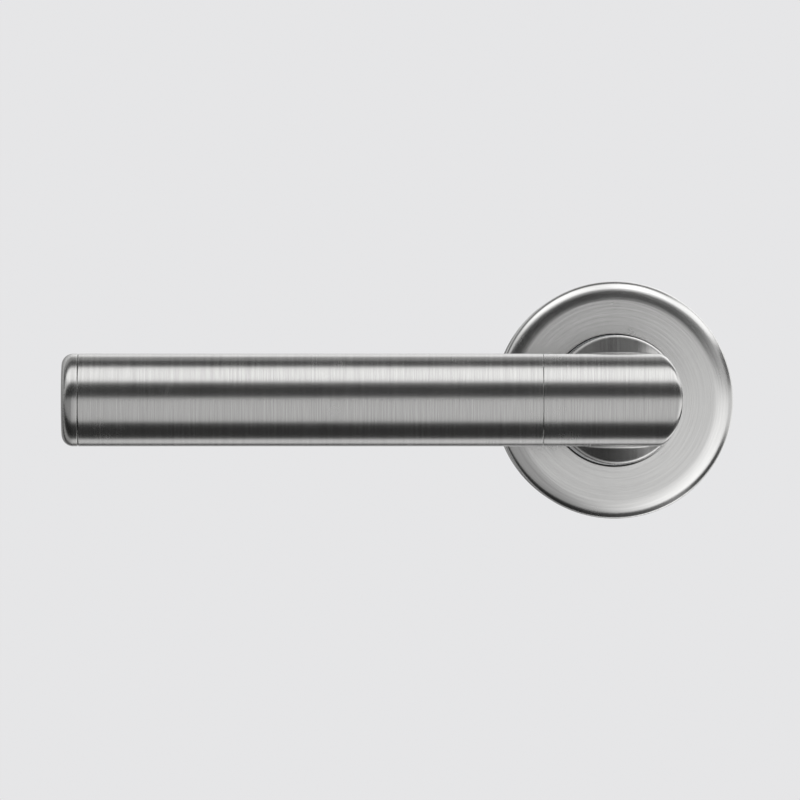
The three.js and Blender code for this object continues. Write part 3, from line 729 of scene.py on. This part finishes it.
def drawn_onto(mesh, field, rounds=4):
    """Moves every point of a mesh onto the zero surface of a field, evening the spacing as it goes."""
    count = len(mesh.vertices)
    points = np.empty(count * 3)
    mesh.vertices.foreach_get("co", points)
    points = points.reshape(-1, 3)
    edges = np.empty(len(mesh.edges) * 2, int)
    mesh.edges.foreach_get("vertices", edges)
    edges = edges.reshape(-1, 2)
    degree = np.bincount(edges.ravel(), minlength=count)[:, None]
    step, least_slope, pull = 1e-3, 0.2, 0.6

    def slope(at):
        steps = np.eye(3) * step
        return np.stack([(field(at + d) - field(at - d)) / (2 * step) for d in steps], axis=1)

    def settled(at):
        for _ in range(3):
            down = slope(at)
            at = at - down * (field(at) / np.maximum((down**2).sum(1), least_slope))[:, None]
        return at

    points = settled(points)
    for _ in range(rounds):
        total = np.zeros_like(points)
        np.add.at(total, edges[:, 0], points[edges[:, 1]])
        np.add.at(total, edges[:, 1], points[edges[:, 0]])
        points = settled(points + pull * (total / degree - points))
    mesh.vertices.foreach_set("co", points.ravel())
    mesh.update()
    return mesh


def on_grip_axis(mesh):
    """The mesh turned from Y onto the grip's axis, with its top towards the free end."""
    return moved(mesh, (0, GRIP_AXIS, 0), (90, "Z"))


def neck():
    """Forged neck: turned barrel, cross head flush with the grip, journal, square hole and screw hole."""
    barrel = turned([(0, SHOULDER, 0), (NECK_RADIUS, SHOULDER, 0), (NECK_RADIUS, CONE_START, 0),
                     (GRIP_RADIUS, CONE_END, 0), (0, CONE_END, 0)], 96)
    bar = on_grip_axis(rod(GRIP_RADIUS, -NECK_RADIUS, -NECK_REACH, 96))
    head = shaped(barrel, [*joins(bar), ("REMESH", {"mode": "VOXEL", "voxel_size": VOXEL})])
    head = drawn_onto(head, neck_field)
    wide = GRIP_RADIUS + 2 * PAST
    spare = box_mesh((NECK_REACH - 2 * PAST, GRIP_AXIS - wide, -wide),
                     (NECK_SEAM, GRIP_AXIS + wide, wide))
    journal = turned([
        (0, NECK_END, 0), (JOURNAL, NECK_END, JOURNAL_CHAMFER), (JOURNAL, CLIP_GROOVE_BOTTOM, 0.1),
        (CLIP_GROOVE_RADIUS, CLIP_GROOVE_BOTTOM, 0.1), (CLIP_GROOVE_RADIUS, CLIP_GROOVE_TOP, 0.1),
        (JOURNAL, CLIP_GROOVE_TOP, 0.1), (JOURNAL, JOURNAL_TOP, 0), (0, JOURNAL_TOP, 0)], 96)
    flats = [box_mesh((-wide, NECK_END - PAST, way * JOURNAL_FLAT),
                      (wide, SHOULDER - 0.2, way * NECK_RADIUS)) for way in (1, -1)]
    journal = shaped(journal, cuts(*flats))
    spigot = on_grip_axis(turned([(0, -SPIGOT_START, 0), (GRIP_BORE - GAP, -SPIGOT_START, 0),
                                  (GRIP_BORE - GAP, -SPIGOT_END, 0.8), (0, -SPIGOT_END, 0)], 64))
    half = SQUARE / 2
    square = box_mesh((-half, NECK_END - PAST, -half), (half, SQUARE_DEPTH, half))
    mouth = turned([(0, NECK_END - PAST, 0), (MOUTH_RADIUS, NECK_END - PAST, 0),
                    (MOUTH_END_RADIUS, MOUTH_END, 0), (0, MOUTH_END, 0)], 64)
    inner, outer = SET_SCREW_RADIUS + GAP, SET_SCREW_RADIUS + GAP + SCREW_LEAD
    hole = turned([(0, half / 2, 0), (inner, half / 2, 0), (inner, NECK_RADIUS - 0.45, 0),
                   (outer, NECK_RADIUS + PAST, 0), (0, NECK_RADIUS + PAST, 0)], 64)
    hole = moved(hole, (0, SET_SCREW_HEIGHT, 0), (-90, "X"))
    return shaped(head, [*cuts(spare), *joins(journal, spigot), *cuts(square, mouth, hole)])


def grip():
    """Drawn tube with its ends faced off."""
    ends = (-GRIP_HIGH.x, -GRIP_LOW.x)
    tube = turned([(GRIP_BORE, ends[0], 0.2), (GRIP_RADIUS, ends[0], 0.15), (GRIP_RADIUS, ends[1], 0.15),
                   (GRIP_BORE, ends[1], 0.2)])
    return on_grip_axis(tube)


def cap():
    """End plug with a rounded rim."""
    low, high = side_box("grip_end_cap")
    seam = -GRIP_LOW.x + 0.1
    plug = turned([(0, -high.x, 0), (GRIP_BORE - GAP, -high.x, 0.8), (GRIP_BORE - GAP, seam, 0),
                   (GRIP_RADIUS, seam, 0.15), (GRIP_RADIUS, -low.x, CAP_EDGE_RADIUS),
                   (0, -low.x, 0)], arc_step=6)
    return on_grip_axis(plug)


def set_screw():
    """Socket set screw with a cup point."""
    low, high = side_box("set_screw")
    bottom, top, wide = -high.z, -low.z, 4
    screw = thread(SCREW_CORE, SET_SCREW_RADIUS, SCREW_PITCH, bottom, top)
    point = turned([(0, bottom - PAST, 0), (wide, bottom - PAST, 0), (wide, bottom, 0),
                    (CUP_RADIUS, bottom, 0), (0, bottom + CUP_DEPTH, 0)], 36)
    corners = [polar(HEX_CORNER, 60 * i)[::2] for i in range(6)]
    socket = prism(corners, top - HEX_DEPTH, top + PAST)
    lead = turned([(0, top - HEX_LEAD, 0), (1.4, top - HEX_LEAD, 0), (2.1, top + 0.3, 0),
                   (0, top + 0.3, 0)], 36)
    rim = turned([(2.35, top + PAST, 0), (wide, top + PAST, 0), (wide, top - 0.7, 0),
                  (2.9, top - 0.7, 0)], 36)
    screw = shaped(screw, cuts(point, socket, lead, rim))
    return moved(screw, (0, SET_SCREW_HEIGHT, 0), (-90, "X"))


# ---- Rose ----

ROSE_INNER_ROUND = 1.5
NOTCH_RADIUS, NOTCH_REACH, NOTCH_SQUASH = 3, 4, 0.4
BUSH_HOLE, BUSH_SEAT, BUSH_SEAT_HEIGHT = 12.7, 14.1, 3.1  # in the plate
BUSH_RADIUS, BUSH_FLANGE, BUSH_FLANGE_HEIGHT = 12.4, 13.8, 0.7
SNAP_GROOVE_DEPTH = 1.1
POCKET_RADIUS, POCKET_HALF, POCKET_DEPTH = 19.6, 2.3, 1.1
POCKETS = ((32, 80), (100, 148))  # degrees, between the locating lips
LIP_RADIUS, LIP_DEPTH = 4, 6  # the lips sit in the door's bolt holes
BOLT_HOLE, HEAD_HOLE, HEAD_SEAT = 3.3, 4, 4
LID_HOLE, LID_RADIUS, LID_HEAD_HOLE = 12.6, 22.8, 4.2
WINDOW_HALF, WINDOW_START, WINDOW_END = 1.2, 44, 136
CLIP_INNER, CLIP_OUTER, CLIP_ENDS = 10.1, 12.4, (-66, 246)
EYE_PLACE, EYE_RADIUS, EYE_HOLE = 12.05, 1.85, 0.8
WASHER_RADIUS = 14.6


def rose():
    """Pressed cover with a rounded shoulder and a notch to lever it off by."""
    inside = ROSE_RADIUS - ROSE_WALL
    shoulder = ROSE_RADIUS - ROSE_SHOULDER_WIDTH
    fall = ROSE_CROWN / (shoulder**2 - ROSE_HOLE**2)
    steepness = 2 * fall * shoulder * ROSE_SHOULDER_WIDTH / ROSE_SHOULDER_HEIGHT
    middle = ROSE_HEIGHT - ROSE_CROWN - ROSE_SHOULDER_HEIGHT
    edge = [(shoulder + ROSE_SHOULDER_WIDTH * math.cos(a), middle + ROSE_SHOULDER_HEIGHT * math.sin(a), 0)
            for a in np.linspace(0, math.pi / 2 - math.atan(steepness), 14)]
    crown = [(radius, ROSE_HEIGHT - fall * (radius**2 - ROSE_HOLE**2), 0)
             for radius in np.linspace(shoulder, ROSE_HOLE, 5)[1:-1]]
    cover = turned([(ROSE_HOLE, ROSE_INSIDE, 0.1), (inside, ROSE_INSIDE - ROSE_CROWN, ROSE_INNER_ROUND),
                    (inside, 0, 0.15), (ROSE_RADIUS, 0, 0.25), *edge, *crown,
                    (ROSE_HOLE, ROSE_HEIGHT, 0.25)], 160, 6)
    notch = rod(NOTCH_RADIUS, -NOTCH_REACH, NOTCH_REACH)
    notch = moved(notch, (0, 0, -ROSE_RADIUS), (90, "X"))
    notch.transform(Matrix.Scale(NOTCH_SQUASH, 4, (0, 1, 0)))
    return shaped(cover, cuts(notch))


def guide_ring():
    """Flat nylon ring under the edge of the cover's hole."""
    low, high = side_box("guide_ring")
    inner, outer = NECK_RADIUS + GAP, high.x
    return turned([(inner, low.y, 0.1), (outer, low.y, 0.1), (outer, high.y, 0.1), (inner, high.y, 0.1)])


def plate():
    """Cast plate: rim groove, spring channels, stop slots, bolt seats and locating lips."""
    groove, half = PLATE_RADIUS - SNAP_GROOVE_DEPTH, SNAP_WIRE + 0.2
    disc = turned([
        (BUSH_HOLE, BUSH_SEAT_HEIGHT, 0), (BUSH_SEAT, BUSH_SEAT_HEIGHT, 0), (BUSH_SEAT, BACK_DEPTH, 0),
        (BACK_RECESS, BACK_DEPTH, 0.3), (BACK_RECESS, 0, 0.3), (PLATE_RADIUS, 0, 0.4),
        (PLATE_RADIUS, SNAP_HEIGHT - half, 0.1), (groove, SNAP_HEIGHT - half, 0.3),
        (groove, SNAP_HEIGHT + half, 0.3), (PLATE_RADIUS, SNAP_HEIGHT + half, 0.1),
        (PLATE_RADIUS, PLATE_HEIGHT, 0.9), (BACK_RECESS, PLATE_HEIGHT, 0.2),
        (BACK_RECESS, DRIVER_PLATE - 0.1, 0.2), (BUSH_HOLE, DRIVER_PLATE - 0.1, 0)])
    top = PLATE_HEIGHT + PAST
    tools, lips = [], []
    for turn in HALF_TURNS:
        start = turn + LUG_START - 1
        stop_end = turn + LUG_END + TRAVEL + 1
        channel_end = turn + CHANNEL_END + 1
        tools.append(sector(CHANNEL_INNER, CHANNEL_OUTER, start, channel_end, CHANNEL_FLOOR, top))
        tools.append(sector(BACK_RECESS - 0.5, CHANNEL_INNER + 0.1, start, stop_end,
                            DRIVER_PLATE - 0.1, top))
        tools.append(sector(CHANNEL_OUTER - 0.1, STOP_RADIUS + GAP, start, stop_end,
                            DRIVER_PLATE - GAP, top))
        tools += [rounded_slot(POCKET_RADIUS, POCKET_HALF, turn + first, turn + last, -PAST, POCKET_DEPTH)
                  for first, last in POCKETS]
    for way in (1, -1):
        place_at = (way * BOLT_OFFSET, 0, 0)
        lip = turned([(0, -LIP_DEPTH, 0), (LIP_RADIUS, -LIP_DEPTH, 0.5), (LIP_RADIUS, PAST, 0),
                      (0, PAST, 0)], SMALL_ROUND)
        lips.append(moved(lip, place_at))
        tools.append(moved(rod(BOLT_HOLE, -LIP_DEPTH - PAST, HEAD_SEAT + PAST), place_at))
        tools.append(moved(rod(HEAD_HOLE, HEAD_SEAT, top), place_at))
    return eased(shaped(disc, [*joins(*lips), *cuts(*tools)]), CAST_EDGE)


def bush():
    """Flanged nylon bearing."""
    inner = JOURNAL + GAP
    low, high = (corner.y for corner in side_box("bearing_bush"))
    flange = low + BUSH_FLANGE_HEIGHT
    return turned([(inner, low, 0.15), (BUSH_FLANGE, low, 0.15), (BUSH_FLANGE, flange, 0.15),
                   (BUSH_RADIUS, flange, 0), (BUSH_RADIUS, high, 0.2), (inner, high, 0.2)], 96)


def driver():
    """Pressed ring on the neck's flats, with a lug on each side."""
    inner, flat = JOURNAL + GAP, JOURNAL_FLAT + GAP
    ring = rod(DRIVER_RADIUS, DRIVER_PLATE, DRIVER_HIGH, 96)
    lugs = []
    for turn in HALF_TURNS:
        start, end = turn + LUG_START, turn + LUG_END
        lugs.append(sector(DRIVER_RADIUS - 1, STOP_RADIUS, start, end, DRIVER_PLATE, DRIVER_HIGH))
        lugs.append(sector(CHANNEL_INNER + 0.2, CHANNEL_OUTER - 0.4, start, end, DRIVER_LOW, DRIVER_HIGH))
    bore = rod(inner, 0, ROSE_HEIGHT, 96)
    trim = [box_mesh((-FAR, -PAST, way * flat), (FAR, FAR, way * FAR)) for way in (1, -1)]
    bore = shaped(bore, cuts(*trim))
    return eased(shaped(ring, [*joins(*lugs), *cuts(bore)]), CAST_EDGE)


def lid():
    """Thin steel lid with a window over each spring and a hole for each bolt head."""
    low, high = (corner.y for corner in side_box("spring_lid"))
    disc = turned([(LID_HOLE, low, 0), (LID_RADIUS, low, 0), (LID_RADIUS, high, 0.15),
                   (LID_HOLE, high, 0.15)])
    tools = [rounded_slot(SPRING_ARCH, WINDOW_HALF, turn + WINDOW_START, turn + WINDOW_END, -PAST, FAR)
             for turn in HALF_TURNS]
    tools += [moved(rod(LID_HEAD_HOLE, -PAST, FAR), (way * BOLT_OFFSET, 0, 0)) for way in (1, -1)]
    return eased(shaped(disc, cuts(*tools)), SHEET_EDGE)


def circlip():
    """Retaining ring, open at the bottom, with an eye at each end."""
    low, high = (corner.y for corner in side_box("circlip"))
    ring = sector(CLIP_INNER, CLIP_OUTER, *CLIP_ENDS, low, high)
    spots = [polar(EYE_PLACE, angle) for angle in CLIP_ENDS]
    eyes = [moved(rod(EYE_RADIUS, low, high, 32), spot) for spot in spots]
    holes = [moved(rod(EYE_HOLE, low - PAST, high + PAST, 24), spot) for spot in spots]
    clear = rod(CLIP_INNER, low - PAST, high + PAST, 96)
    return eased(shaped(ring, [*joins(*eyes), *cuts(*holes, clear)]), SHEET_EDGE)


def washer():
    """Thrust washer."""
    low, high = (corner.y for corner in side_box("thrust_washer"))
    inner = JOURNAL + GAP
    return turned([(inner, low, 0.08), (WASHER_RADIUS, low, 0.08), (WASHER_RADIUS, high, 0.15),
                   (inner, high, 0.08)], 96)


# ---- Through the door ----

SPINDLE_EDGE, SPINDLE_POINT = 0.45, 1.8
BOLT_CORE, BOLT_CREST, BOLT_SHANK, BOLT_PITCH = 1.62, 2.0, 1.99, 0.7
BOLT_PLAIN, BOLT_THREAD = 26, 27  # from the bolt's end to its plain shank, and to the end of its thread
HEAD_HEIGHT = 2.4
CROSS_HALF, CROSS_ARM, CROSS_DEPTH = 2.0, 0.5, 1.6
SLEEVE_BORE, SLEEVE_RADIUS = 2.3, 3
SLOT_REACH, SLOT_HALF, SLOT_DEPTH = 6, 0.5, 1


def spindle():
    """Square bar with broken edges and pointed ends."""
    low, high = (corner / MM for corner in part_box("spindle"))
    half, end = high.x, high.y
    tip, wide = half - 0.2, half * 1.5
    bar = eased(box_mesh((-half, -end, -half), (half, end, half)), SPINDLE_EDGE, 3, 30)
    points = turned([(0, -end, 0), (tip, -end, 0.2), (wide, SPINDLE_POINT - end, 0),
                     (wide, end - SPINDLE_POINT, 0), (tip, end, 0.2), (0, end, 0)], 64)
    return shaped(bar, [("BOOLEAN", {"operation": "INTERSECT", "object": points})])


def through_bolt(node):
    """Machine screw with a pan head and a cross recess, in the row frame."""
    low, high = (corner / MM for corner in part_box(node))
    top, bottom, radius = high.y, low.y, (high.x - low.x) / 2
    seat = top - HEAD_HEIGHT
    shank = thread(BOLT_CORE, BOLT_CREST, BOLT_PITCH, bottom, bottom + BOLT_THREAD, 32)
    plain = turned([(0, bottom + BOLT_PLAIN, 0), (BOLT_CORE, bottom + BOLT_PLAIN, 0),
                    (BOLT_SHANK, bottom + 26.6, 0), (BOLT_SHANK, seat, 0.2), (radius, seat, 0.2),
                    (radius, top, 1.1), (0, top, 0)], SMALL_ROUND)
    corners = [(-CROSS_HALF, -CROSS_ARM), (CROSS_HALF, -CROSS_ARM), (CROSS_HALF, CROSS_ARM),
               (-CROSS_HALF, CROSS_ARM)]
    arms = [prism(corners, top - CROSS_DEPTH, top + PAST) for _ in range(2)]
    arms[1] = moved(arms[1], turn=(90, "Y"))
    well = turned([(0, top - 2, 0), (0.6, top - 1.7, 0), (1.35, top + 0.2, 0), (0, top + 0.2, 0)], 24)
    bolt = shaped(plain, [*joins(shank), *cuts(*arms, well)])
    return moved(bolt, ((low.x + high.x) / 2, 0, 0))


def sleeve(node):
    """Threaded sleeve with a slotted head, in the row frame."""
    low, high = (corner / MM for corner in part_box(node))
    top, bottom, radius = low.y, high.y, (high.x - low.x) / 2
    seat = top + HEAD_HEIGHT
    body = turned([(SLEEVE_BORE, bottom, 0.1), (SLEEVE_RADIUS, bottom, 0.4), (SLEEVE_RADIUS, seat, 0.1),
                   (radius, seat, 0.15), (radius, top, 0.7), (SLEEVE_BORE, top, 0.25)], SMALL_ROUND)
    slot = box_mesh((-SLOT_REACH, top - PAST, -SLOT_HALF), (SLOT_REACH, top + SLOT_DEPTH, SLOT_HALF))
    return moved(eased(shaped(body, cuts(slot)), 0.06), ((low.x + high.x) / 2, 0, 0))


# ---- Assembly ----

FINISHES = {
    "satin_bar": satin_bar(), "satin_cap": satin_cap(), "satin_neck": satin_neck(),
    "satin_rose": satin_rose(), "zinc_casting": zinc_casting(), "plated_steel": plated_steel(),
    "spring_steel": spring_steel(), "black_steel": black_steel(), "nylon": nylon(),
}


def dressed(piece, finish, slot):
    """Gives a piece its finish; the slot is not used."""
    piece.data.materials.clear()
    piece.data.materials.append(FINISHES[finish])
    return piece


# maker, piece, CAD node, body, finish, slot; a body of None is the side's own cover
SIDE_PIECES = [
    (neck, "neck", "lever_neck", "levers", "satin_neck", "satin_steel"),
    (grip, "grip", "grip_tube", "levers", "satin_bar", "satin_steel"),
    (cap, "end_cap", "grip_end_cap", "levers", "satin_cap", "satin_steel"),
    (set_screw, "clamp_screw", "set_screw", "levers", "black_steel", "black_steel"),
    (rose, "rose", "rose_cover", None, "satin_rose", "satin_steel"),
    (guide_ring, "neck_ring", "guide_ring", None, "nylon", "nylon"),
    (snap_ring, "snap_wire", "snap_ring", "mount", "spring_steel", "spring_steel"),
    (plate, "cast_plate", "mounting_plate", "mount", "zinc_casting", "zinc_casting"),
    (bush, "bush", "bearing_bush", "mount", "nylon", "nylon"),
    (driver, "driver", "spring_driver", "levers", "plated_steel", "plated_steel"),
    (lid, "lid", "spring_lid", "mount", "plated_steel", "plated_steel"),
    (circlip, "retaining_ring", "circlip", "levers", "black_steel", "black_steel"),
    (washer, "washer", "thrust_washer", "levers", "plated_steel", "plated_steel"),
]

for maker, name, node, body, finish, slot in SIDE_PIECES:
    shape = maker()
    for side, way in WAYS.items():
        piece = dressed(place(shape, f"{side}_{name}", way), finish, slot)
        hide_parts(f"{side}_{node}")
        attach(piece, body or f"{side}_cover")

for number, label in enumerate(("upper", "lower")):
    shape = return_spring(number)
    for side, way in WAYS.items():
        piece = dressed(place(shape, f"{side}_spring_{label}", way), "spring_steel", "spring_steel")
        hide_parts(f"{side}_return_spring_{label}")
        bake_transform(piece)

bar = dressed(place(spindle(), "square_spindle"), "plated_steel", "plated_steel")
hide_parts("spindle")
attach(bar, "levers")
for maker, name in ((through_bolt, "through_bolt"), (sleeve, "threaded_sleeve")):
    for label in ("left", "right"):
        node = f"{name}_{label}"
        piece = dressed(place(maker(node), f"door_{node}"), "plated_steel", "plated_steel")
        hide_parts(node)
        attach(piece, "mount")

# ---- Studio ----

FLOOR_DROP = 0.45
VIEW_WIDTH = 0.172
LENS, SENSOR = 600, 36
FLOOR_RADIUS, FLOOR_SIDES = 3.2, 63
PANEL_STRENGTH, ROOM_TINT = 1.41, (0.79, 0.79, 0.8, 1)
LAMP_PLACE, LAMP_SIZE, LAMP_POWER = (0.5, -1.1, 1.0), 0.9, 9

# Light that a polished bar sees, by angle round the bar from the camera up over the top: (degrees, level)
SKY_BANDS = [(-180, 0.6), (-160, 0.6), (-154, 0.06), (-142, 0.06), (-136, 0.8), (-118, 0.8), (-111, 0.06),
             (-98, 0.045), (-60, 0.045), (-54, 0.66), (3, 0.66), (8, 0.04),
             (43, 0.04), (49, 1.22), (86, 1.22), (94, 0.06), (112, 0.06), (120, 0.34), (134, 0.34),
             (140, 1.1), (156, 1.1), (162, 0.6), (180, 0.6)]
# Light beside the lock edge, by height from straight below to straight above: (height, level)
SIDE_BANDS = [(-1, 0.2), (-0.8, 0.2), (-0.7, 0.04), (-0.35, 0.04), (-0.25, 0.55), (0.08, 0.55),
              (0.16, 0.05), (0.42, 0.05), (0.52, 1.0), (0.82, 1.0), (0.9, 0.2), (1, 0.2)]


def studio():
    """Pale room, with soft panels above and in front that only polished surfaces see."""
    world = bpy.data.worlds.new("studio")
    bpy.context.scene.world = world
    world.use_nodes = True
    graph = Graph(world.node_tree)
    graph.tree.nodes.clear()
    way = graph.add("ShaderNodeTexCoord", output="Generated")
    x, y, z = (graph.add("ShaderNodeSeparateXYZ", {}, {0: way}, axis) for axis in "XYZ")
    turn = z.math("ARCTAN2", 0 - y) / (2 * math.pi) + 0.5
    stops = [(degrees / 360 + 0.5, level) for degrees, level in SKY_BANDS]

    def ramp(value, start, end, low=0.0, high=1.0):
        inputs = {"Value": value, "From Min": start, "From Max": end, "To Min": low, "To Max": high}
        return graph.add("ShaderNodeMapRange", {"interpolation_type": "SMOOTHSTEP"}, inputs, "Result")

    bands = graph.add("ShaderNodeValToRGB", {"stops": stops}, {0: turn}, "Color")
    # the panels are dimmer towards the free end, and brighter and less banded towards the lock edge
    left, side, right = ramp(x, 0, -0.35), ramp(x, -0.3, 0.3, 0.42, 1.23), ramp(x, 0.3, 0.8)
    gain = side * (1 - 0.45 * ramp(x, 0.1, 0.5) * z) + 0.5 * left * ramp(z, 0.45, 0.75)
    level = (bands * (1 - 0.5 * right) + 0.3 * right) * gain
    beside = ramp(x, 0.35, 0.7) * ramp(y.math("ABSOLUTE"), 0.5, 0.3)
    stops = [(height / 2 + 0.5, level) for height, level in SIDE_BANDS]
    stripes = graph.add("ShaderNodeValToRGB", {"stops": stops}, {0: z / 2 + 0.5}, "Color")
    level = level * (1 - beside) + stripes * beside
    panels = graph.add("ShaderNodeBackground", {}, {"Color": level, "Strength": PANEL_STRENGTH})
    room = graph.add("ShaderNodeBackground", {}, {"Color": ROOM_TINT, "Strength": 1.0})
    glossy = graph.add("ShaderNodeLightPath", output="Is Glossy Ray")
    mixed = graph.add("ShaderNodeMixShader", {}, {0: glossy, 1: room, 2: panels})
    out = graph.tree.nodes.new("ShaderNodeOutputWorld")
    graph.tree.links.new(mixed.socket, out.inputs[0])


def floor():
    """Pale round floor that polished surfaces don't see."""
    finish = Finish("pale_floor", Roughness=0.9)
    finish.colour((0.92, 0.92, 0.92, 1))
    angles = np.linspace(0, 2 * math.pi, FLOOR_SIDES + 1)[:-1]
    rim = [(FLOOR_RADIUS * math.cos(a), FLOOR_RADIUS * math.sin(a), 0) for a in angles]
    mesh = mesh_of(rim, [list(range(FLOOR_SIDES))])
    mesh.transform(Matrix.Translation((0, 0, cad_low.z - FLOOR_DROP)))
    mesh.materials.append(finish.material)
    piece = bpy.data.objects.new("floor", mesh)
    bpy.context.scene.collection.objects.link(piece)
    piece.visible_glossy = False


def camera():
    """Long lens straight in front of the outer handle."""
    data = bpy.data.cameras.new("camera")
    data.lens, data.sensor_width = LENS, SENSOR
    eye = bpy.data.objects.new("camera", data)
    bpy.context.scene.collection.objects.link(eye)
    distance = VIEW_WIDTH * LENS / SENSOR
    middle = (cad_low.x + cad_high.x) / 2
    eye.location = (middle, cad_low.y - distance, 0)
    eye.rotation_euler = (math.radians(90), 0, 0)
    data.clip_start = 0.01
    bpy.context.scene.camera = eye


def lamp():
    """Soft light from above the camera's right shoulder."""
    data = bpy.data.lights.new("soft_light", "AREA")
    data.shape, data.size, data.energy = "DISK", LAMP_SIZE, LAMP_POWER
    light = bpy.data.objects.new("soft_light", data)
    bpy.context.scene.collection.objects.link(light)
    light.location = LAMP_PLACE
    aim = Vector((0, 0, 0)) - light.location
    light.rotation_euler = aim.to_track_quat("-Z", "Y").to_euler()
    light.visible_glossy = False


studio()
floor()
camera()
lamp()
bpy.context.scene.view_settings.view_transform = "Standard"
